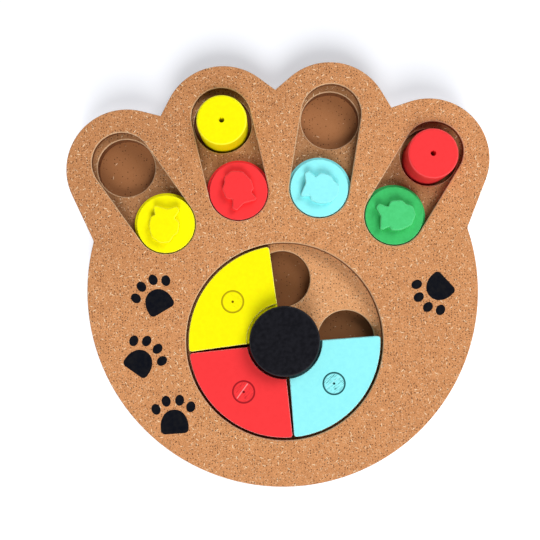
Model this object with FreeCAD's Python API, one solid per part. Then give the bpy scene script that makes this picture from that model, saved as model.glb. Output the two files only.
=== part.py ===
"""Paw-shaped dog puzzle feeder: a glued stack of four fibreboard panels with treat wells,
sliding discs in the toes, three turning fan covers round a centre knob, and two lift-out pegs.
Millimetres, +Z up, origin at the middle of the underside."""
import FreeCAD
import Part

import math
import os

Vec = FreeCAD.Vector
UP = Vec(0, 0, 1)

# Panels of the glued board, from the table up
BASE_THICK = 3.0
WELL_PANEL_THICK = 8.0
SLIDE_PANEL_THICK = 4.0
TOP_PANEL_THICK = 4.0

# Outline of the paw
PALM_RADIUS = 112.4
PALM_RISE = 29.7
TOE_ORIGIN_DROP = 29.6
TOE_ANGLES = (-33.6, -11.3, 11.3, 33.6)
LOBE_SETBACK = 4.7
LOBE_RADIUS = 34.9
LOBE_ARC_HALF = 50.0
LOBE_FLANK_TURN = 80.0
CREASE_FILLET = 2.5
PANEL_EDGE_ROUND = 0.6

# Toe slots, the undercut below their lips, and the toe wells
SLOT_INNER_REACH = 119.3
SLOT_TRAVEL = 44.2
SLOT_HALF_WIDTH = 17.4
LIP_OVERHANG = 1.8
WELL_RADIUS = 17.0
WELL_OFFSET = 2.6
RIM_CHAMFER = 0.5

# Palm recess, its wells and the fans
RECESS_RADIUS = 56.5
PALM_WELL_RADIUS = 16.4
PALM_WELL_REACH = 35.9
PALM_WELLS = 4
FAN_GAP = 1.5
FAN_WEDGE = 90.0
FAN_SIDE_OFFSET = 1.3
FAN_STEP = 88.2
FAN_FIRST = 140.9
FAN_ORDER = ("yellow", "red", "blue")
FAN_THICK = 7.6
FAN_TONGUE_THICK = 3.4
FAN_TONGUE_LAP = 1.0
FAN_SHOULDER_GAP = 1.6
FAN_CORNER_ROUND = 1.6
FAN_EDGE_ROUND = 0.5
PLUG_RADIUS = 6.6
PLUG_REACH = 37.3
PLUG_CLEARANCE = 0.05
PLUG_MARK_RADIUS = 0.6
PLUG_MARK_DEPTH = 1.0

# Centre knob, its hub, washer and screw
KNOB_RADIUS = 20.0
KNOB_STAND = 9.0
KNOB_EDGE_ROUND = 1.4
HUB_RADIUS = 14.8
HUB_CLEARANCE = 0.7
KNOB_CLEARANCE = 0.6
SCREW_RADIUS = 2.0
SCREW_BITE = 9.0
SCREW_HEAD_RADIUS = 3.8
SCREW_HEAD_THICK = 2.0
SCREW_CLEARANCE = 0.2
DRIVE_HALF = 1.2
DRIVE_DEPTH = 1.0

# Sliding discs with their fish-shaped grips
DISC_CLEARANCE = 0.6
DISC_SINK = 0.5
FLANGE_THICK = 3.2
FLANGE_CLEARANCE = 0.7
DISC_EDGE_ROUND = 0.5
FISH_LENGTH = 22.3
FISH_THICK = 4.6
FISH_EDGE_ROUND = 0.9
FISH_TURNS = (-105.0, 106.0, -23.0, -2.0)
PIN_RADIUS = 3.0
PIN_CLEARANCE = 0.05
PIN_IN_DISC = 5.0
PIN_IN_FISH = 2.6

# Corners of the fish in shares of its length: along, across, and the corner's radius
FISH_CORNERS = (
    (-0.185, 0.215, 0.035), (-0.115, 0.365, 0.09), (0.165, 0.39, 0.12), (0.285, 0.29, 0.06),
    (0.455, 0.235, 0.12), (0.53, 0.0, 0.16), (0.425, -0.26, 0.14), (0.14, -0.40, 0.16),
    (-0.095, -0.40, 0.09), (-0.155, -0.305, 0.035), (-0.40, -0.42, 0.06), (-0.375, -0.03, 0.11),
    (-0.50, 0.20, 0.07), (-0.41, 0.30, 0.06),
)

# Lift-out pegs in the second and fourth toes
PEG_RADIUS = 14.5
PEG_HEIGHT = 25.0
PEG_LEAN_IN = 1.0
PEG_EDGE_ROUND = 1.4
PEG_HOLE_RADIUS = 1.6
PEG_HOLE_DEPTH = 14.0
PEG_TOES = {"yellow": 2, "red": 4}

# Inlaid paw prints: centre from the palm's axis and turn in degrees
PRINT_DEPTH = 0.6
PRINT_CLEARANCE = 0.05
PRINT_PAD_RADIUS = 7.3
PRINT_TOE_HALF_WIDTH = 2.55
PRINT_TOE_HALF_LENGTH = 3.1
PRINT_TOE_REACH = 12.8
PRINT_TOE_ANGLES = (-51.0, -17.5, 17.5, 51.0)
PRINT_TOE_LEAN = 1 / 3
PRINTS = ((-71.8, 25.2, 28.6), (-83.3, -9.2, -37.4), (-64.5, -43.9, 2.1), (89.7, 27.3, 130.6))

# Half outline of a print's pad in shares of its radius, from the heel to the shoulder
PAD_HALF = ((0.74, -0.89), (1.0, -0.77), (1.08, -0.46), (1.01, 0.18), (0.7, 0.7))
PAD_CROWN = 0.98

# How near two levels or two points count as the same
SAME_LEVEL = 1e-6
SAME_PLACE = 0.01

# Levels, from the table up
WELL_FLOOR = BASE_THICK
SLOT_FLOOR = WELL_FLOOR + WELL_PANEL_THICK
LIP_UNDER = SLOT_FLOOR + SLIDE_PANEL_THICK
BOARD_TOP = LIP_UNDER + TOP_PANEL_THICK

# What follows from the slots: their outer ends and the toes' round tips
SLOT_OUTER_REACH = SLOT_INNER_REACH + SLOT_TRAVEL
LOBE_REACH = SLOT_OUTER_REACH - LOBE_SETBACK
FAN_MIDDLES = {c: FAN_FIRST + n * FAN_STEP for n, c in enumerate(FAN_ORDER)}

# The palm's axis stands behind the origin, which is midway between the board's front and back
FRONT_EDGE = PALM_RISE - PALM_RADIUS
BACK_EDGE = LOBE_REACH * math.cos(math.radians(TOE_ANGLES[2])) + LOBE_RADIUS - TOE_ORIGIN_DROP
PALM_Y = -(FRONT_EDGE + BACK_EDGE) / 2
TOE_ORIGIN_Y = PALM_Y - TOE_ORIGIN_DROP


def toe_axis(toe):
    """Unit vector that points out along a toe, counted from 1 at the left."""
    turn = math.radians(TOE_ANGLES[toe - 1])
    return Vec(math.sin(turn), math.cos(turn), 0)


def toe_point(toe, reach, z=0.0):
    return Vec(0, TOE_ORIGIN_Y, z) + toe_axis(toe) * reach


def palm_point(reach, degrees, z=0.0):
    turn = math.radians(degrees)
    return Vec(reach * math.cos(turn), PALM_Y + reach * math.sin(turn), z)


def disc(radius, z, height, centre=Vec(0, 0, 0)):
    return Part.makeCylinder(radius, height, Vec(centre.x, centre.y, z))


def prism(edges, z, height):
    face = Part.Face(Part.Wire(edges))
    face.translate(Vec(0, 0, z))
    return face.extrude(Vec(0, 0, height))


def arc(first, middle, last):
    return Part.Arc(first, middle, last).toShape()


def line(first, last):
    return Part.LineSegment(first, last).toShape()


def edges_at(solid, z):
    """Edges of the solid that lie wholly at one level."""
    found = []
    for edge in solid.Edges:
        box = edge.BoundBox
        if abs(box.ZMin - z) < SAME_LEVEL and abs(box.ZMax - z) < SAME_LEVEL:
            found.append(edge)
    return found


def rims_at(solid, z):
    """Edges of the holes that open at one level, without the panel's outer edge."""
    found = []
    for face in solid.Faces:
        box = face.BoundBox
        if abs(box.ZMin - z) < SAME_LEVEL and abs(box.ZMax - z) < SAME_LEVEL:
            for wire in face.Wires:
                if not wire.isSame(face.OuterWire):
                    found.extend(wire.Edges)
    return found


def slot(toe, half_width, z, height):
    """Stadium-shaped block along a toe, as long as the disc's travel and its two round ends."""
    along = toe_axis(toe)
    side = Vec(along.y, -along.x, 0) * half_width
    start = toe_point(toe, SLOT_INNER_REACH)
    end = toe_point(toe, SLOT_OUTER_REACH)
    edges = [
        line(start + side, end + side),
        arc(end + side, end + along * half_width, end - side),
        line(end - side, start - side),
        arc(start - side, start - along * half_width, start + side),
    ]
    return prism(edges, z, height)


def lobe_point(toe, degrees):
    """Point on a toe's round tip, turned from the toe's axis, clockwise from above."""
    turn = math.radians(TOE_ANGLES[toe - 1] + degrees)
    return toe_point(toe, LOBE_REACH) + Vec(math.sin(turn), math.cos(turn), 0) * LOBE_RADIUS


def lobe_tangent(toe, degrees):
    turn = math.radians(TOE_ANGLES[toe - 1] + degrees)
    return Vec(math.cos(turn), -math.sin(turn), 0)


def meet(start, along, other, other_along):
    """Point where two lines in the plan cross."""
    gap = other - start
    cross = along.x * other_along.y - along.y * other_along.x
    step = (gap.x * other_along.y - gap.y * other_along.x) / cross
    return start + along * step


def palm_meet(start, along):
    """Point where a line in the plan runs into the palm's circle."""
    centre = Vec(0, PALM_Y + PALM_RISE, 0)
    back = start - centre
    half = back.dot(along)
    root = math.sqrt(half * half - back.dot(back) + PALM_RADIUS ** 2)
    return start + along * (-half - root)


def outline_edges():
    """The paw's edge: four round tips whose flanks run straight into V notches, and the palm."""
    last = len(TOE_ANGLES)
    flank_left = palm_meet(lobe_point(1, -LOBE_FLANK_TURN), -lobe_tangent(1, -LOBE_FLANK_TURN))
    flank_right = palm_meet(lobe_point(last, LOBE_FLANK_TURN), lobe_tangent(last, LOBE_FLANK_TURN))
    edges = [line(flank_left, lobe_point(1, -LOBE_FLANK_TURN))]
    for toe in range(1, last + 1):
        left = -LOBE_FLANK_TURN if toe == 1 else -LOBE_ARC_HALF
        right = LOBE_FLANK_TURN if toe == last else LOBE_ARC_HALF
        edges.append(arc(lobe_point(toe, left), lobe_point(toe, 0), lobe_point(toe, right)))
        if toe < last:
            notch = meet(
                lobe_point(toe, right), lobe_tangent(toe, right),
                lobe_point(toe + 1, -LOBE_ARC_HALF), lobe_tangent(toe + 1, -LOBE_ARC_HALF),
            )
            edges.append(line(lobe_point(toe, right), notch))
            edges.append(line(notch, lobe_point(toe + 1, -LOBE_ARC_HALF)))
    edges.append(line(lobe_point(last, LOBE_FLANK_TURN), flank_right))
    edges.append(arc(flank_right, Vec(0, PALM_Y + PALM_RISE - PALM_RADIUS, 0), flank_left))
    return edges, (flank_left, flank_right)


def panel(z, thick):
    """One paw-shaped panel, with the creases beside the outer toes rounded."""
    edges, creases = outline_edges()
    solid = prism(edges, z, thick)
    upright = []
    for edge in solid.Edges:
        foot = edge.Vertexes[0].Point
        tall = edge.BoundBox.ZLength > thick / 2
        if tall and any(math.hypot(foot.x - c.x, foot.y - c.y) < SAME_PLACE for c in creases):
            upright.append(edge)
    return solid.makeFillet(CREASE_FILLET, upright)


def well_point(toe, place):
    """Centre of a toe's inner or outer well, a little towards the palm from the slot's end."""
    reach = SLOT_INNER_REACH if place == "inner" else SLOT_OUTER_REACH
    return toe_point(toe, reach - WELL_OFFSET)


def make_base_panel():
    solid = panel(0.0, BASE_THICK)
    solid = solid.makeFillet(PANEL_EDGE_ROUND, edges_at(solid, 0.0))
    centre = palm_point(0, 0)
    sink = disc(SCREW_HEAD_RADIUS + SCREW_CLEARANCE, 0.0, SCREW_HEAD_THICK, centre)
    shank = disc(SCREW_RADIUS + SCREW_CLEARANCE, 0.0, BASE_THICK, centre)
    return solid.cut(sink.fuse(shank))


def make_well_panel():
    solid = panel(WELL_FLOOR, WELL_PANEL_THICK)
    holes = []
    for toe in range(1, len(TOE_ANGLES) + 1):
        for place in ("inner", "outer"):
            holes.append(disc(WELL_RADIUS, WELL_FLOOR, WELL_PANEL_THICK, well_point(toe, place)))
    for count in range(PALM_WELLS):
        centre = palm_point(PALM_WELL_REACH, count * 360 / PALM_WELLS)
        holes.append(disc(PALM_WELL_RADIUS, WELL_FLOOR, WELL_PANEL_THICK, centre))
    shank_hole = SCREW_RADIUS + SCREW_CLEARANCE
    holes.append(disc(shank_hole, WELL_FLOOR, WELL_PANEL_THICK, palm_point(0, 0)))
    solid = solid.cut(holes)
    return solid.makeChamfer(RIM_CHAMFER, rims_at(solid, SLOT_FLOOR))


def make_slide_panel():
    solid = panel(SLOT_FLOOR, SLIDE_PANEL_THICK)
    holes = [disc(RECESS_RADIUS, SLOT_FLOOR, SLIDE_PANEL_THICK, palm_point(0, 0))]
    for toe in range(1, len(TOE_ANGLES) + 1):
        holes.append(slot(toe, SLOT_HALF_WIDTH + LIP_OVERHANG, SLOT_FLOOR, SLIDE_PANEL_THICK))
    return solid.cut(holes)


def print_shapes(grow):
    """The five spots of each paw print, as flat blocks sunk into the top, grown by a margin."""
    shapes = []
    z = BOARD_TOP - PRINT_DEPTH
    for x, y, turn in PRINTS:
        spots = [print_pad(PRINT_PAD_RADIUS + grow, z)]
        for angle in PRINT_TOE_ANGLES:
            spots.append(print_toe(angle, grow, z))
        for spot in spots:
            spot.rotate(Vec(0, 0, 0), UP, turn)
            spot.translate(Vec(x, PALM_Y + y, 0))
        shapes.append(spots)
    return shapes


def print_pad(radius, z):
    """A pad with a round top, nearly upright sides and a flat heel."""
    right = [Vec(x, y, 0) * radius for x, y in PAD_HALF]
    left = [Vec(-point.x, point.y, 0) for point in right]
    edges = [
        arc(right[0], right[1], right[2]),
        arc(right[2], right[3], right[4]),
        arc(right[4], Vec(0, PAD_CROWN * radius, 0), left[4]),
        arc(left[4], left[3], left[2]),
        arc(left[2], left[1], left[0]),
        line(left[0], right[0]),
    ]
    return prism(edges, z, PRINT_DEPTH)


def print_toe(angle, grow, z):
    turn = math.radians(angle)
    centre = Vec(math.sin(turn), math.cos(turn), 0) * PRINT_TOE_REACH
    oval = Part.Ellipse(Vec(0, 0, 0), PRINT_TOE_HALF_LENGTH + grow, PRINT_TOE_HALF_WIDTH + grow)
    edge = oval.toShape()
    edge.rotate(Vec(0, 0, 0), UP, 90 - angle * PRINT_TOE_LEAN)
    edge.translate(centre)
    return prism([edge], z, PRINT_DEPTH)


def make_top_panel():
    solid = panel(LIP_UNDER, TOP_PANEL_THICK)
    solid = solid.makeFillet(PANEL_EDGE_ROUND, edges_at(solid, BOARD_TOP))
    holes = [disc(RECESS_RADIUS, LIP_UNDER, TOP_PANEL_THICK, palm_point(0, 0))]
    for toe in range(1, len(TOE_ANGLES) + 1):
        holes.append(slot(toe, SLOT_HALF_WIDTH, LIP_UNDER, TOP_PANEL_THICK))
    solid = solid.cut(holes)
    solid = solid.makeChamfer(RIM_CHAMFER, rims_at(solid, BOARD_TOP))
    pockets = []
    for spots in print_shapes(PRINT_CLEARANCE):
        pockets.extend(spots)
    return solid.cut(pockets)


def rounded_top(solid, radius):
    return solid.makeFillet(radius, edges_at(solid, solid.BoundBox.ZMax))


def make_slider_disc(toe):
    """Painted disc whose wider flange runs under the slot's lips."""
    centre = toe_point(toe, SLOT_INNER_REACH)
    body_radius = SLOT_HALF_WIDTH - DISC_CLEARANCE
    flange_radius = SLOT_HALF_WIDTH + LIP_OVERHANG - FLANGE_CLEARANCE
    top = BOARD_TOP - DISC_SINK
    body = disc(body_radius, SLOT_FLOOR, top - SLOT_FLOOR, centre)
    solid = body.fuse(disc(flange_radius, SLOT_FLOOR, FLANGE_THICK, centre)).removeSplitter()
    solid = rounded_top(solid, DISC_EDGE_ROUND)
    pocket = disc(PIN_RADIUS + PIN_CLEARANCE, top - PIN_IN_DISC, PIN_IN_DISC, centre)
    return solid.cut(pocket)


def rounded_outline(corners):
    """Closed outline of straight runs, each corner (x, y, radius) rounded by a tangent arc."""
    edges = []
    starts = []
    ends = []
    count = len(corners)
    for number, (x, y, radius) in enumerate(corners):
        corner = Vec(x, y, 0)
        before = Vec(*corners[number - 1][:2], 0) - corner
        after = Vec(*corners[(number + 1) % count][:2], 0) - corner
        before.normalize()
        after.normalize()
        half = before.getAngle(after) / 2
        middle = before + after
        middle.normalize()
        setback = radius / math.tan(half)
        crown = corner + middle * (radius / math.sin(half) - radius)
        starts.append(corner + before * setback)
        ends.append(corner + after * setback)
        edges.append(arc(starts[-1], crown, ends[-1]))
        if number:
            edges.append(line(ends[number - 1], starts[number]))
    edges.append(line(ends[-1], starts[0]))
    return Part.__sortEdges__(edges)


def fish_edges():
    """Plain fish, nose along +X: a round body, a step at the brow, and a notched tail."""
    corners = []
    for x, y, radius in FISH_CORNERS:
        corners.append((x * FISH_LENGTH, y * FISH_LENGTH, radius * FISH_LENGTH))
    return rounded_outline(corners)


def make_fish(toe):
    seat = BOARD_TOP - DISC_SINK
    solid = prism(fish_edges(), seat, FISH_THICK)
    solid = rounded_top(solid, FISH_EDGE_ROUND)
    solid.rotate(Vec(0, 0, 0), UP, FISH_TURNS[toe - 1])
    centre = toe_point(toe, SLOT_INNER_REACH)
    solid.translate(centre)
    return solid.cut(disc(PIN_RADIUS + PIN_CLEARANCE, seat, PIN_IN_FISH, centre))


def make_fish_pin(toe):
    seat = BOARD_TOP - DISC_SINK
    centre = toe_point(toe, SLOT_INNER_REACH)
    return disc(PIN_RADIUS, seat - PIN_IN_DISC, PIN_IN_DISC + PIN_IN_FISH, centre)


def make_peg(toe):
    """Loose peg that stands in a well and proud of the board, with a blind hole in its top."""
    centre = well_point(toe, "outer") - toe_axis(toe) * PEG_LEAN_IN
    solid = rounded_top(disc(PEG_RADIUS, WELL_FLOOR, PEG_HEIGHT, centre), PEG_EDGE_ROUND)
    top = WELL_FLOOR + PEG_HEIGHT
    return solid.cut(disc(PEG_HOLE_RADIUS, top - PEG_HOLE_DEPTH, PEG_HOLE_DEPTH, centre))


def sector(inner, outer, middle, z, height):
    """Quarter ring about the palm's axis, whose plane ends are cut back parallel to a radius."""
    inner_half = FAN_WEDGE / 2 - math.degrees(math.asin(FAN_SIDE_OFFSET / inner))
    outer_half = FAN_WEDGE / 2 - math.degrees(math.asin(FAN_SIDE_OFFSET / outer))
    inner_start = palm_point(inner, middle - inner_half)
    inner_end = palm_point(inner, middle + inner_half)
    outer_start = palm_point(outer, middle - outer_half)
    outer_end = palm_point(outer, middle + outer_half)
    edges = [
        arc(outer_start, palm_point(outer, middle), outer_end),
        line(outer_end, inner_end),
        arc(inner_end, palm_point(inner, middle), inner_start),
        line(inner_start, outer_start),
    ]
    return prism(edges, z, height)


def make_fan(colour):
    """Quarter-ring cover: a thick field, and a thin tongue inwards that the knob holds down."""
    middle = FAN_MIDDLES[colour]
    outer = RECESS_RADIUS - FAN_GAP
    shoulder = KNOB_RADIUS + FAN_SHOULDER_GAP
    tongue_inner = HUB_RADIUS + HUB_CLEARANCE
    upper = sector(shoulder, outer, middle, SLOT_FLOOR, FAN_THICK)
    outer_corners = []
    for edge in upper.Edges:
        foot = edge.Vertexes[0].Point
        reach = math.hypot(foot.x, foot.y - PALM_Y)
        if edge.BoundBox.ZLength > FAN_THICK / 2 and reach > (shoulder + outer) / 2:
            outer_corners.append(edge)
    upper = upper.makeFillet(FAN_CORNER_ROUND, outer_corners)
    upper = rounded_top(upper, FAN_EDGE_ROUND)
    tongue = sector(tongue_inner, shoulder + FAN_TONGUE_LAP, middle, SLOT_FLOOR, FAN_TONGUE_THICK)
    solid = upper.fuse(tongue).removeSplitter()
    centre = palm_point(PLUG_REACH, middle)
    return solid.cut(disc(PLUG_RADIUS + PLUG_CLEARANCE, SLOT_FLOOR, FAN_THICK, centre))


def make_fan_plug(colour):
    """Dowel end that is glued flush in a fan, with the lathe's centre mark."""
    centre = palm_point(PLUG_REACH, FAN_MIDDLES[colour])
    solid = disc(PLUG_RADIUS, SLOT_FLOOR, FAN_THICK, centre)
    tip = Vec(centre.x, centre.y, SLOT_FLOOR + FAN_THICK - PLUG_MARK_DEPTH)
    return solid.cut(Part.makeCone(0.0, PLUG_MARK_RADIUS, PLUG_MARK_DEPTH, tip))


def knob_under():
    return SLOT_FLOOR + FAN_TONGUE_THICK + KNOB_CLEARANCE


def make_knob():
    centre = palm_point(0, 0)
    under = knob_under()
    solid = disc(KNOB_RADIUS, under, BOARD_TOP + KNOB_STAND - under, centre)
    solid = rounded_top(solid, KNOB_EDGE_ROUND)
    return solid.cut(disc(SCREW_RADIUS, under, SCREW_BITE, centre))


def make_knob_hub():
    centre = palm_point(0, 0)
    solid = disc(HUB_RADIUS, SLOT_FLOOR, knob_under() - SLOT_FLOOR, centre)
    return solid.cut(disc(SCREW_RADIUS + SCREW_CLEARANCE, SLOT_FLOOR, knob_under() - SLOT_FLOOR, centre))


def make_knob_screw():
    """Screw from below: its head is sunk in the base and its shank bites in the knob."""
    centre = palm_point(0, 0)
    head = disc(SCREW_HEAD_RADIUS, SCREW_CLEARANCE, SCREW_HEAD_THICK - SCREW_CLEARANCE, centre)
    shank = disc(SCREW_RADIUS, SCREW_CLEARANCE, knob_under() + SCREW_BITE - SCREW_CLEARANCE, centre)
    solid = head.fuse(shank).removeSplitter()
    for width, depth in ((DRIVE_HALF * 2, DRIVE_HALF / 2), (DRIVE_HALF / 2, DRIVE_HALF * 2)):
        corner = Vec(centre.x - width / 2, centre.y - depth / 2, SCREW_CLEARANCE)
        solid = solid.cut(Part.makeBox(width, depth, DRIVE_DEPTH, corner))
    return solid


def save(shape, name):
    solids = shape.Solids
    if not solids or not shape.isValid():
        raise ValueError(name + " is not a valid solid")
    kept = solids[0] if len(solids) == 1 else Part.makeCompound(solids)
    kept.exportStep(os.path.join("parts", name + ".step"))
    print(name, len(solids), "solid(s),", round(sum(s.Volume for s in solids)), "mm3")


def main():
    os.makedirs("parts", exist_ok=True)
    save(make_base_panel(), "base_panel")
    save(make_well_panel(), "well_panel")
    save(make_slide_panel(), "slide_panel")
    save(make_top_panel(), "top_panel")
    for number, spots in enumerate(print_shapes(0.0), 1):
        save(Part.makeCompound(spots), f"paw_print_{number}")
    for toe in range(1, len(TOE_ANGLES) + 1):
        save(make_slider_disc(toe), f"slider_disc_{toe}")
        save(make_fish(toe), f"fish_grip_{toe}")
        save(make_fish_pin(toe), f"fish_pin_{toe}")
    for colour, toe in PEG_TOES.items():
        save(make_peg(toe), f"peg_{colour}")
    for colour in FAN_ORDER:
        save(make_fan(colour), f"fan_{colour}")
        save(make_fan_plug(colour), f"fan_plug_{colour}")
    save(make_knob(), "knob")
    save(make_knob_hub(), "knob_hub")
    save(make_knob_screw(), "knob_screw")


main()
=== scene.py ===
import math

import bpy
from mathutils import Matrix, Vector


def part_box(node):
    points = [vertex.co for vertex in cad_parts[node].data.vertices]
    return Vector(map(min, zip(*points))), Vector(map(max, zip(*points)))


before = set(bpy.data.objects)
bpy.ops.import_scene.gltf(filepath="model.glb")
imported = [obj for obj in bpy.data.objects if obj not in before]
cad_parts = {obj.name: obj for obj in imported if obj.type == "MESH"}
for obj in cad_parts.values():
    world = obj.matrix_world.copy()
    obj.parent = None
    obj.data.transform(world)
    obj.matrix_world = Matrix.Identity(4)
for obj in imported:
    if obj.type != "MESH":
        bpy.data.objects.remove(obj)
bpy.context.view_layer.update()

# Studio
# The board lies on a white table under two broad lamps, one from behind on the right and one from
# the front, in a faintly lit white room. The table's glow is seen but lights nothing, and fades
# behind the toes, where their shadow shows. The camera hangs over the board, tilted 3 degrees.
TABLE_HALF = 1.6
TABLE_CORNERS = ((-1, -1), (1, -1), (1, 1), (-1, 1))
TABLE_WHITE = (0.86, 0.87, 0.90, 1.0)
TABLE_ROUGHNESS = 0.85
TABLE_GLOSS = 0.1
GLOW = (0.92, 0.94, 1.0, 1.0)
GLOW_IN_FRONT = 0.62
GLOW_BEHIND = 0.15
GLOW_FADE = (0.075, 0.125)
ROOM_LIGHT = (0.93, 0.96, 1.0, 1.0)
ROOM_STRENGTH = 0.24
ROOM_WHITE = (1.0, 1.0, 1.0, 1.0)
LAMPS = {
    "window_lamp": {"strength": 1.5, "softness": 32.0, "turn": (42.0, 0.0, 130.0)},
    "front_lamp": {"strength": 2.1, "softness": 32.0, "turn": (46.0, 0.0, 4.0)},
}
CAMERA_PLACE = (-0.006487, -0.024386, 0.518313)
CAMERA_TURN = (0.05236, 0.00260, -0.03643)
CAMERA_LENS = 57.95
CAMERA_SENSOR = 36.0


def set_or_link(tree, socket, value):
    """Gives a socket a constant, or what another node puts out."""
    if isinstance(value, bpy.types.NodeSocket):
        tree.links.new(value, socket)
    else:
        socket.default_value = value


def add_node(tree, kind, settings=None, **inputs):
    """A shader node with its settings, and its inputs by name (underscores stand for spaces)."""
    node = tree.nodes.new(kind)
    for key, value in (settings or {}).items():
        setattr(node, key, value)
    for key, value in inputs.items():
        set_or_link(tree, node.inputs[key.replace("_", " ")], value)
    return node


def maths(tree, operation, *values, clamp=False):
    """The result of one operation on numbers."""
    node = add_node(tree, "ShaderNodeMath", {"operation": operation, "use_clamp": clamp})
    for socket, value in zip(node.inputs, values):
        set_or_link(tree, socket, value)
    return node.outputs[0]


def ramp(tree, value, start, stop, low=0.0, high=1.0, shape="SMOOTHSTEP"):
    """A number that runs from low at start to high at stop, and stays level beyond them."""
    limits = {"From_Min": start, "From_Max": stop, "To_Min": low, "To_Max": high}
    node = add_node(tree, "ShaderNodeMapRange", {"interpolation_type": shape}, Value=value, **limits)
    return node.outputs[0]


def object_place(tree):
    """Where a point lies, in metres, in the frame that moves with its piece."""
    return add_node(tree, "ShaderNodeTexCoord").outputs["Object"]


def seen_rays(tree):
    """1 for what the camera sees directly, in a reflection or through glass."""
    rays = add_node(tree, "ShaderNodeLightPath").outputs
    direct_or_glossy = maths(tree, "MAXIMUM", rays["Is Camera Ray"], rays["Is Glossy Ray"])
    return maths(tree, "MAXIMUM", direct_or_glossy, rays["Is Transmission Ray"])


def new_finish(name, **inputs):
    """A material with only its output and its surface shader, whose inputs go by name."""
    material = bpy.data.materials.new(name)
    material.use_nodes = True
    tree = material.node_tree
    tree.nodes.clear()
    shader = add_node(tree, "ShaderNodeBsdfPrincipled", **inputs)
    add_node(tree, "ShaderNodeOutputMaterial", Surface=shader.outputs["BSDF"])
    return material, tree, shader


world = bpy.data.worlds.new("studio_room")
world.use_nodes = True
room = world.node_tree
room.nodes.clear()
room_light = add_node(room, "ShaderNodeBackground", Color=ROOM_LIGHT, Strength=ROOM_STRENGTH)
room_white = add_node(room, "ShaderNodeBackground", Color=ROOM_WHITE, Strength=1.0)
room_mix = add_node(room, "ShaderNodeMixShader", Fac=seen_rays(room))
room.links.new(room_light.outputs[0], room_mix.inputs[1])
room.links.new(room_white.outputs[0], room_mix.inputs[2])
add_node(room, "ShaderNodeOutputWorld", Surface=room_mix.outputs[0])
bpy.context.scene.world = world
bpy.context.scene.view_settings.view_transform = "Standard"

table_mesh = bpy.data.meshes.new("table_top")
table_corners = [(x * TABLE_HALF, y * TABLE_HALF, 0.0) for x, y in TABLE_CORNERS]
table_mesh.from_pydata(table_corners, [], [(0, 1, 2, 3)])
table = bpy.data.objects.new("table_top", table_mesh)
bpy.context.collection.objects.link(table)
table_finish, table_tree, table_shader = new_finish(
    "white_table", Base_Color=TABLE_WHITE, Roughness=TABLE_ROUGHNESS, Specular_IOR_Level=TABLE_GLOSS
)
table_axes = add_node(table_tree, "ShaderNodeSeparateXYZ", Vector=object_place(table_tree))
glow_level = ramp(table_tree, table_axes.outputs[1], *GLOW_FADE, GLOW_IN_FRONT, GLOW_BEHIND)
glow_level = maths(table_tree, "MULTIPLY", seen_rays(table_tree), glow_level)
glow = add_node(table_tree, "ShaderNodeEmission", Color=GLOW, Strength=glow_level)
table_sum = add_node(table_tree, "ShaderNodeAddShader")
table_tree.links.new(table_shader.outputs["BSDF"], table_sum.inputs[0])
table_tree.links.new(glow.outputs[0], table_sum.inputs[1])
table_output = next(node for node in table_tree.nodes if node.type == "OUTPUT_MATERIAL")
table_tree.links.new(table_sum.outputs[0], table_output.inputs["Surface"])
table_mesh.materials.append(table_finish)

for lamp_name, lamp_settings in LAMPS.items():
    lamp_data = bpy.data.lights.new(lamp_name, "SUN")
    lamp_data.energy = lamp_settings["strength"]
    lamp_data.angle = math.radians(lamp_settings["softness"])
    lamp = bpy.data.objects.new(lamp_name, lamp_data)
    lamp.rotation_euler = [math.radians(turn) for turn in lamp_settings["turn"]]
    bpy.context.collection.objects.link(lamp)

camera_data = bpy.data.cameras.new("camera")
camera_data.lens = CAMERA_LENS
camera_data.sensor_width = CAMERA_SENSOR
camera = bpy.data.objects.new("camera", camera_data)
camera.location = CAMERA_PLACE
camera.rotation_euler = CAMERA_TURN
bpy.context.collection.objects.link(camera)
bpy.context.scene.camera = camera

# Board panels
# Four layers of medium-density fibreboard, glued into one board. The pressed faces show short
# pale fibres and dark specks. The walls have the cut edge's dark brown, deepened by painted shade;
# the well floors are smoother, and darker with painted shade.
BOARD_LIGHT = (0.98, 0.465, 0.20, 1.0)
BOARD_DARK = (0.30, 0.102, 0.029, 1.0)
BOARD_FIBRE = (1.0, 0.80, 0.53, 1.0)
BOARD_BARK = (0.25, 0.075, 0.022, 1.0)
BOARD_SPECK = (0.035, 0.013, 0.008, 1.0)
# Recess floor tones, paler than the top face's as painted light.
RECESS_LIT_LIGHT = (1.0, 0.52, 0.24, 1.0)
RECESS_LIT_DARK = (0.44, 0.170, 0.058, 1.0)
# Well floor tones, darker than the faces as painted shade.
SHADED_WELL_LIGHT = (0.50, 0.212, 0.085, 1.0)
SHADED_WELL_DARK = (0.40, 0.160, 0.060, 1.0)
# Wall tones: the cut edge's own brown, darkened further as painted shade.
SHADED_CUT_LIGHT = (0.26, 0.105, 0.042, 1.0)
SHADED_CUT_DARK = (0.14, 0.050, 0.020, 1.0)
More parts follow.
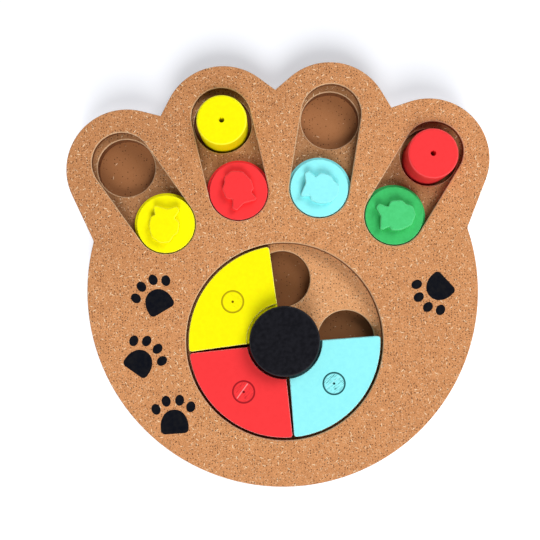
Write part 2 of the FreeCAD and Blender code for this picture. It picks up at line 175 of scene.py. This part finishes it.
# Painted highlight on the chamfered rims.
BOARD_RIM_HIGHLIGHT = (0.90, 0.62, 0.38, 1.0)
BOARD_RIM_HIGHLIGHT_SHARE = 0.55
SHADE_LEFT = (0.25, 0.22, 0.20)
BOARD_ROUGHNESS = 0.62
MATT_GLOSS = 0.08
BOARD_RELIEF = {"Strength": 0.35, "Distance": 0.00012}
BLOTCH_MM = 24.0
BLOTCH_SHARE = 0.35
GRAIN_MM = 1.0
GRAIN_FLATTEN = 1.6
GRAIN_SPREAD = 0.13
NOISE_WAVES = 5.0
NOISE_MIDDLE = 0.5
NOISE_TURN = (0.6, 0.4, 0.9)
CHIPS = {
    "splinter": {"cell_mm": 1.2, "length": 0.46, "width": 0.22, "share": 0.26, "flatten": 1.2, "depth": 0.5},
    "fibre": {"cell_mm": 4.4, "length": 0.30, "width": 0.055, "share": 0.42, "flatten": 1.2, "depth": 0.95},
    "bark": {"cell_mm": 1.25, "length": 0.34, "width": 0.26, "share": 0.4, "flatten": 1.1, "depth": 0.4},
    "speck": {"cell_mm": 1.6, "length": 0.27, "width": 0.24, "share": 0.5, "flatten": 1.0, "depth": 0.9},
}
CHIP_CORE = 0.55
CHIP_SHARE_BLUR = 0.04
LEVEL_SLOPES = (0.55, 0.85)
RIM_LOW_SLOPES = (0.50, 0.62)
RIM_HIGH_SLOPES = (0.92, 0.80)
RECESS_EDGE = 0.0575
REACH_BLUR = 0.0006
# Painted shade towards the board's upper-left corner.
SHADED_CORNER = (-0.62, 0.78, 0.0)
SHADED_CORNER_REACH = (0.01, 0.12)
SHADED_CORNER_SHARE = 0.24
MM_PER_METRE = 1000.0


def scaled(tree, size_mm, flatten=1.0, turned=(0.0, 0.0, 0.0)):
    """Object coordinates in units of size_mm, with the height squeezed by flatten, then turned."""
    scale = MM_PER_METRE / size_mm
    mapping = add_node(
        tree, "ShaderNodeMapping", Vector=object_place(tree), Scale=(scale, scale, scale * flatten),
        Rotation=turned,
    )
    return mapping.outputs["Vector"]


def noise(tree, place, detail, roughness=0.5, waves=NOISE_WAVES):
    """Cloudy noise from 0 to 1, with so many waves to a unit of length."""
    node = add_node(
        tree, "ShaderNodeTexNoise", Vector=place, Scale=waves, Detail=detail, Roughness=roughness
    )
    return node.outputs["Fac"]


def vector_maths(tree, operation, *values):
    """The result of one operation on vectors, which is a number for a length or a dot product."""
    node = add_node(tree, "ShaderNodeVectorMath", {"operation": operation})
    for socket, value in zip(node.inputs, values):
        set_or_link(tree, socket, value)
    return node.outputs["Value" if operation in ("LENGTH", "DOT_PRODUCT") else "Vector"]


def turned_level(tree, vector, angle):
    """A vector turned round the upright axis."""
    turn = add_node(
        tree, "ShaderNodeVectorRotate", {"rotation_type": "Z_AXIS"}, Vector=vector, Angle=angle
    )
    return turn.outputs[0]


def blend_colours(tree, share, first, second):
    """The first colour at share 0, the second at share 1. The colour sockets are 0, 6 and 7."""
    node = add_node(tree, "ShaderNodeMix", {"data_type": "RGBA"})
    for number, value in ((0, share), (6, first), (7, second)):
        set_or_link(tree, node.inputs[number], value)
    return node.outputs[2]


def darker(colour, left):
    """A colour with only a share of its red, green and blue left."""
    return (colour[0] * left[0], colour[1] * left[1], colour[2] * left[2], 1.0)


def chips(tree, kind, amount):
    """Slivers laid at random turns in the board's plane: their depth of colour there, 0 beside.
    Their length and width are shares of a cell."""
    chip = CHIPS[kind]
    place = scaled(tree, chip["cell_mm"], chip["flatten"], (0.0, 0.0, chip["cell_mm"]))
    cells = add_node(tree, "ShaderNodeTexVoronoi", Vector=place, Scale=1.0)
    chance = add_node(tree, "ShaderNodeSeparateColor", Color=cells.outputs["Color"])
    offset = vector_maths(tree, "SUBTRACT", place, cells.outputs["Position"])
    offset = turned_level(tree, offset, maths(tree, "MULTIPLY", chance.outputs[0], math.tau))
    narrowed = (1.0 / chip["length"], 1.0 / chip["width"], 1.0)
    reach = vector_maths(tree, "LENGTH", vector_maths(tree, "MULTIPLY", offset, narrowed))
    empty = 1.0 - chip["share"] * amount
    kept = ramp(tree, chance.outputs[1], empty, empty + CHIP_SHARE_BLUR)
    sliver = maths(tree, "MULTIPLY", ramp(tree, reach, 1.0, CHIP_CORE), kept)
    return maths(tree, "MULTIPLY", sliver, chip["depth"])


def upright_part(tree):
    """How far a face looks up: 1 on the level top, 0 on a wall and -1 on the underside."""
    geometry = add_node(tree, "ShaderNodeNewGeometry")
    return add_node(tree, "ShaderNodeSeparateXYZ", Vector=geometry.outputs["Normal"]).outputs[2]


def level_faces(tree):
    """1 on faces that look up or down, 0 on walls."""
    return ramp(tree, maths(tree, "ABSOLUTE", upright_part(tree)), *LEVEL_SLOPES)


def cut_rims(tree):
    """1 on the narrow cut rims, which slope at half a right angle, 0 on faces and walls."""
    slope = upright_part(tree)
    off_the_top = ramp(tree, slope, *RIM_HIGH_SLOPES)
    return maths(tree, "MULTIPLY", off_the_top, ramp(tree, slope, *RIM_LOW_SLOPES))


def from_axis(tree, box, units_per_metre=1.0):
    """Where a point lies in plan, seen from the middle of a piece's box."""
    low, high = box
    middle = ((low[0] + high[0]) / 2, (low[1] + high[1]) / 2, 0.0)
    offset = vector_maths(tree, "SUBTRACT", object_place(tree), middle)
    return vector_maths(tree, "MULTIPLY", offset, (units_per_metre, units_per_metre, 0.0))


def from_knob(tree, edge, near, far):
    """One level within a reach from the knob's axis, and another beyond it."""
    reach = vector_maths(tree, "LENGTH", from_axis(tree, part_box("knob")))
    return ramp(tree, reach, edge, edge + REACH_BLUR, near, far, "LINEAR")


def add_relief(tree, shader, height, relief):
    """Gives a finish the fine ups and downs of a noise."""
    bump = add_node(tree, "ShaderNodeBump", Height=height, **relief)
    tree.links.new(bump.outputs["Normal"], shader.inputs["Normal"])


def fibreboard(name, light, dark, fibres, specks, grain=1.0, near=1.0, far=1.0):
    """Fibreboard: blotches, fine grain, fibres and specks, with painted shade and painted rim highlights.
    Near and far are how much of its level faces' colour is kept against painted shade inside the
    round recess and outside it."""
    material, tree, shader = new_finish(
        name, Roughness=BOARD_ROUGHNESS, Specular_IOR_Level=MATT_GLOSS
    )
    blotch = noise(tree, scaled(tree, BLOTCH_MM, turned=NOISE_TURN), detail=3.0)
    blotch = maths(tree, "MULTIPLY_ADD", blotch, BLOTCH_SHARE, -BLOTCH_SHARE / 2)
    fine = noise(tree, scaled(tree, GRAIN_MM, GRAIN_FLATTEN, NOISE_TURN), detail=4.0, roughness=0.7)
    spread = GRAIN_SPREAD / grain
    level = ramp(tree, fine, NOISE_MIDDLE - spread, NOISE_MIDDLE + spread)
    level = maths(tree, "ADD", level, blotch, clamp=True)

    face = blend_colours(tree, level, dark, light)
    # Painted shade: the level faces keep only near of their colour inside the recess and far outside it.
    lit = from_knob(tree, RECESS_EDGE, near, far)
    face = blend_colours(tree, lit, darker(dark, SHADE_LEFT), face)
    # Painted shade: the faces darken towards the upper-left corner.
    cornerward = vector_maths(tree, "DOT_PRODUCT", object_place(tree), SHADED_CORNER)
    corner = maths(tree, "MULTIPLY", ramp(tree, cornerward, *SHADED_CORNER_REACH), SHADED_CORNER_SHARE)
    face = blend_colours(tree, corner, face, darker(light, SHADE_LEFT))
    # The walls: cut-edge colour with painted shade.
    wall = blend_colours(tree, level, SHADED_CUT_DARK, SHADED_CUT_LIGHT)
    flat = level_faces(tree)
    colour = blend_colours(tree, flat, wall, face)

    pale = maths(tree, "MAXIMUM", chips(tree, "splinter", fibres), chips(tree, "fibre", fibres))
    colour = blend_colours(tree, maths(tree, "MULTIPLY", pale, flat), colour, BOARD_FIBRE)
    colour = blend_colours(tree, chips(tree, "bark", specks), colour, BOARD_BARK)
    colour = blend_colours(tree, chips(tree, "speck", specks), colour, BOARD_SPECK)
    # Painted highlight: pale on the chamfered rims.
    rims = maths(tree, "MULTIPLY", cut_rims(tree), BOARD_RIM_HIGHLIGHT_SHARE)
    colour = blend_colours(tree, rims, colour, BOARD_RIM_HIGHLIGHT)
    tree.links.new(colour, shader.inputs["Base Color"])
    add_relief(tree, shader, fine, BOARD_RELIEF)
    return material


def coat(material, *nodes):
    """Gives CAD nodes a finish."""
    for name in nodes:
        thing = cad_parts[name]
        if not thing.material_slots:
            thing.data.materials.append(material)
        for slot in thing.material_slots:
            slot.material = material


pressed_face = fibreboard("pressed_fibreboard", BOARD_LIGHT, BOARD_DARK, fibres=1.0, specks=1.0)
# The recess floor is painted light; far=0.56 paints shade on the slot floors.
lit_recess_shaded_slot_face = fibreboard(
    "lit_recess_shaded_slot_floor", RECESS_LIT_LIGHT, RECESS_LIT_DARK, fibres=0.7, specks=0.8, far=0.56
)
# Painted shade: the well floors are darker, most under the recess (near=0.5).
shaded_well_floor = fibreboard(
    "well_floor_fibreboard", SHADED_WELL_LIGHT, SHADED_WELL_DARK, fibres=0.1, specks=0.35, grain=0.6, near=0.5, far=0.95
)
coat(pressed_face, "top_panel")
coat(lit_recess_shaded_slot_face, "well_panel", "slide_panel")
coat(shaded_well_floor, "base_panel")

# Paw prints
# Four paw prints of black ink, each a pad with four toes, set flush in shallow pockets of the
# top face. The ink dries matt with a faint unevenness.
INK = (0.003, 0.004, 0.008, 1.0)
INK_WORN = (0.010, 0.010, 0.012, 1.0)
INK_GRAIN_MM = 0.6
INK_ROUGHNESS = 0.6
INK_GLOSS = 0.02
TONE_MM = 11.0
TONE_RANGE = (0.10, 0.40)
BRUSH_GRAIN_MM = 0.9
BRUSH_DEPTH = 0.00002
RELIEF_STRENGTH = 0.4
PAINT_ROUGHNESS = 0.5
ROUGHNESS_SWING = 0.08
# Painted highlight on the rounded rims of painted pieces.
PAINT_RIM_HIGHLIGHT = 0.05


def paler(colour, share):
    """A colour taken part of the way to white."""
    return tuple(channel + (1.0 - channel) * share for channel in colour)


def lacquer(
    name, colour, shade, roughness=PAINT_ROUGHNESS, gloss=MATT_GLOSS, grain_mm=BRUSH_GRAIN_MM,
    depth=BRUSH_DEPTH, rim_highlight=PAINT_RIM_HIGHLIGHT,
):
    """Brushed-on colour: slow change of tone, fine grain, a slight relief and pale rims of painted
    highlight.
    """
    material, tree, shader = new_finish(name, Specular_IOR_Level=gloss)
    slow = noise(tree, scaled(tree, TONE_MM), detail=2.0)
    fine = noise(tree, scaled(tree, grain_mm), detail=3.0, roughness=0.6)
    tone = ramp(tree, maths(tree, "MULTIPLY", slow, fine), *TONE_RANGE)
    painted = blend_colours(tree, tone, shade, colour)
    # Painted highlight: pale on the rounded rims.
    painted = blend_colours(tree, cut_rims(tree), painted, paler(colour, rim_highlight))
    tree.links.new(painted, shader.inputs["Base Color"])
    smoothest = roughness - ROUGHNESS_SWING
    roughest = roughness + ROUGHNESS_SWING
    uneven = ramp(tree, fine, 0.0, 1.0, smoothest, roughest, "LINEAR")
    tree.links.new(uneven, shader.inputs["Roughness"])
    add_relief(tree, shader, fine, {"Strength": RELIEF_STRENGTH, "Distance": depth})
    return material, tree, shader


ink, _, _ = lacquer("black_ink", INK, INK_WORN, INK_ROUGHNESS, INK_GLOSS, INK_GRAIN_MM, rim_highlight=0.0)
coat(ink, "paw_print_1", "paw_print_2", "paw_print_3", "paw_print_4")

# Knob
# A turned wooden knob in black paint stands over the fans' inner edges. It sits on a plain
# wooden hub that the fans turn round, and one steel screw from below holds both to the board.
KNOB_BLACK = (0.004, 0.004, 0.006, 1.0)
KNOB_GREY = (0.012, 0.012, 0.016, 1.0)
KNOB_ROUGHNESS = 0.42
KNOB_GLOSS = 0.04
KNOB_GRAIN_MM = 0.55
KNOB_DEPTH = 0.0001
KNOB_RIM_HIGHLIGHT = 0.02
knob_paint, _, _ = lacquer(
    "knob_black_paint", KNOB_GREY, KNOB_BLACK, KNOB_ROUGHNESS, KNOB_GLOSS, KNOB_GRAIN_MM,
    KNOB_DEPTH, KNOB_RIM_HIGHLIGHT,
)
coat(knob_paint, "knob")

BEECH_LIGHT = (0.62, 0.40, 0.22, 1.0)
BEECH_DARK = (0.48, 0.28, 0.14, 1.0)
BEECH_ROUGHNESS = 0.6
BEECH_BAND_MM = 3.0
BEECH_WANDER = 3.0
beech, beech_tree, beech_shader = new_finish("bare_beech", Roughness=BEECH_ROUGHNESS)
beech_bands = add_node(
    beech_tree, "ShaderNodeTexWave", Vector=scaled(beech_tree, BEECH_BAND_MM),
    Distortion=BEECH_WANDER, Detail=2.0,
)
beech_colour = blend_colours(beech_tree, beech_bands.outputs["Fac"], BEECH_DARK, BEECH_LIGHT)
beech_tree.links.new(beech_colour, beech_shader.inputs["Base Color"])
coat(beech, "knob_hub", "fish_pin_1", "fish_pin_2", "fish_pin_3", "fish_pin_4")

STEEL = (0.55, 0.55, 0.56, 1.0)
STEEL_MARKS_MM = 0.5
STEEL_ROUGHNESS = (0.25, 0.45)
steel, steel_tree, steel_shader = new_finish("plated_steel", Base_Color=STEEL, Metallic=1.0)
steel_marks = noise(steel_tree, scaled(steel_tree, STEEL_MARKS_MM), detail=2.0)
steel_rough = ramp(steel_tree, steel_marks, 0.0, 1.0, *STEEL_ROUGHNESS, "LINEAR")
steel_tree.links.new(steel_rough, steel_shader.inputs["Roughness"])
coat(steel, "knob_screw")

# Fans and their plugs
# Three quarter-ring covers of painted wood lie in the recess and turn round the hub. Each has
# a dowel end glued in and painted over, so its rim, centre mark and brush marks show.
YELLOW = (1.0, 0.95, 0.0, 1.0)
YELLOW_SHADE = (0.99, 0.89, 0.0, 1.0)
RED = (0.97, 0.044, 0.048, 1.0)
RED_SHADE = (0.94, 0.040, 0.044, 1.0)
BLUE = (0.32, 0.95, 0.96, 1.0)
BLUE_SHADE = (0.29, 0.90, 0.94, 1.0)
FAN_PAINTS = {
    "yellow": (YELLOW, YELLOW_SHADE),
    "red": (RED, RED_SHADE),
    "blue": (BLUE, BLUE_SHADE),
}
FAN_RIM_HIGHLIGHT = 0.3
TONGUE_EDGE = 0.0214
# Painted shade on the red and blue fans' tongues under the knob's rim.
TONGUE_SHADE_LEFT = (0.22, 0.22, 0.22)
TONGUE_SHADE_SHARE = {"yellow": 0.0, "red": 1.0, "blue": 1.0}
PLUG_LINES = {
    "yellow": (0.30, 0.17, 0.002, 1.0),
    "red": (0.30, 0.006, 0.012, 1.0),
    "blue": (0.01, 0.09, 0.10, 1.0),
}
PLUG_MARKS = {
    "yellow": {"rim": 0.75, "scratches": 0.2, "highlight": 0.0, "turn": 35.0},
    "red": {"rim": 0.9, "scratches": 0.6, "highlight": 0.6, "turn": -52.0},
    "blue": {"rim": 1.0, "scratches": 0.95, "highlight": 0.3, "turn": -40.0},
}
PLUG_RADIUS_MM = 6.6
RIM_LINE_MM = (PLUG_RADIUS_MM - 1.3, PLUG_RADIUS_MM - 0.6)
CENTRE_MARK_MM = (0.95, 0.5)
BRISTLES_STRETCH = (0.16, 2.2, 1.0)
BRISTLES_SHOW = (0.50, 0.62)
PATCH_WAVES = 0.33
PATCHES_SHOW = (0.38, 0.52)
# A pale streak across the plug, a painted highlight.
HIGHLIGHT_ASIDE_MM = 0.9
HIGHLIGHT_HALF_MM = (0.45, 0.05)
HIGHLIGHT_ENDS_MM = (PLUG_RADIUS_MM - 0.9, PLUG_RADIUS_MM - 1.8)
HIGHLIGHT_PALENESS = 0.5


def paint_over(tree, shader, share, colour):
    """Lays one more colour over a paint, as thickly as share says."""
    below = shader.inputs["Base Color"].links[0].from_socket
    tree.links.new(blend_colours(tree, share, below, colour), shader.inputs["Base Color"])


def fan_paint(colour):
    """The fan's paint, pale along its edges as painted highlight, and dark under the knob's rim as painted
    shade.
    """
    tone, shade = FAN_PAINTS[colour]
    material, tree, shader = lacquer(colour + "_fan_paint", tone, shade, rim_highlight=FAN_RIM_HIGHLIGHT)
    # Painted shade under the knob's rim.
    tongue_shade = from_knob(tree, TONGUE_EDGE, TONGUE_SHADE_SHARE[colour], 0.0)
    paint_over(tree, shader, tongue_shade, darker(tone, TONGUE_SHADE_LEFT))
    return material


def plug_paint(colour):
    """The fan's paint on a dowel end: a dark rim line, a centre mark, scratches and a pale streak of painted
    highlight.
    """
    tone, shade = FAN_PAINTS[colour]
    strength = PLUG_MARKS[colour]
    material, tree, shader = lacquer(colour + "_plug_paint", tone, shade)
    place = from_axis(tree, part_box("fan_plug_" + colour), MM_PER_METRE)
    distance = vector_maths(tree, "LENGTH", place)
    along_brush = turned_level(tree, place, math.radians(strength["turn"]))

    # Painted highlight: a pale streak along the brush direction.
    aside = add_node(tree, "ShaderNodeSeparateXYZ", Vector=along_brush).outputs[1]
    aside = maths(tree, "ABSOLUTE", maths(tree, "SUBTRACT", aside, HIGHLIGHT_ASIDE_MM))
    highlight_streak = ramp(tree, aside, *HIGHLIGHT_HALF_MM)
    highlight_streak = maths(tree, "MULTIPLY", highlight_streak, ramp(tree, distance, *HIGHLIGHT_ENDS_MM))
    highlight_streak = maths(tree, "MULTIPLY", highlight_streak, strength["highlight"])
    paint_over(tree, shader, highlight_streak, paler(tone, HIGHLIGHT_PALENESS))

    bristles = vector_maths(tree, "MULTIPLY", along_brush, BRISTLES_STRETCH)
    bristles = noise(tree, bristles, detail=3.0, roughness=0.65, waves=1.0)
    patches = noise(tree, place, detail=1.0, waves=PATCH_WAVES)
    scratches = ramp(tree, bristles, *BRISTLES_SHOW)
    scratches = maths(tree, "MULTIPLY", scratches, ramp(tree, patches, *PATCHES_SHOW))
    scratches = maths(tree, "MULTIPLY", scratches, strength["scratches"])
    rim = maths(tree, "MULTIPLY", ramp(tree, distance, *RIM_LINE_MM), strength["rim"])
    marks = maths(tree, "MAXIMUM", rim, ramp(tree, distance, *CENTRE_MARK_MM))
    paint_over(tree, shader, maths(tree, "MAXIMUM", marks, scratches), PLUG_LINES[colour])
    return material


for colour in FAN_PAINTS:
    coat(fan_paint(colour), "fan_" + colour)
    coat(plug_paint(colour), "fan_plug_" + colour)

# Sliding discs and fish
# Each toe has a painted wooden disc whose flange runs under the slot's lips. A fish cut from
# thin board is glued and pinned on top as the grip, in the same colour.
GREEN = (0.055, 0.56, 0.15, 1.0)
GREEN_SHADE = (0.045, 0.48, 0.12, 1.0)
FISH_GREEN = (0.085, 0.66, 0.215, 1.0)
FISH_GREEN_SHADE = (0.07, 0.60, 0.18, 1.0)
DISC_PAINTS = {**FAN_PAINTS, "green": (GREEN, GREEN_SHADE)}
TOE_COLOURS = {1: "yellow", 2: "red", 3: "blue", 4: "green"}

paints = {}
for colour, (tone, shade) in DISC_PAINTS.items():
    paints[colour], _, _ = lacquer(colour + "_paint", tone, shade)
fish_green, _, _ = lacquer("green_fish_paint", FISH_GREEN, FISH_GREEN_SHADE)
fish_paints = {**paints, "green": fish_green}
for toe, colour in TOE_COLOURS.items():
    coat(paints[colour], f"slider_disc_{toe}")
    coat(fish_paints[colour], f"fish_grip_{toe}")

# Lift-out pegs
# Two turned wooden pegs stand loose in the outer wells, painted all over, each with a small
# drilled hole in its top that lets the smell of a treat out.
for colour in ("yellow", "red"):
    coat(paints[colour], "peg_" + colour)
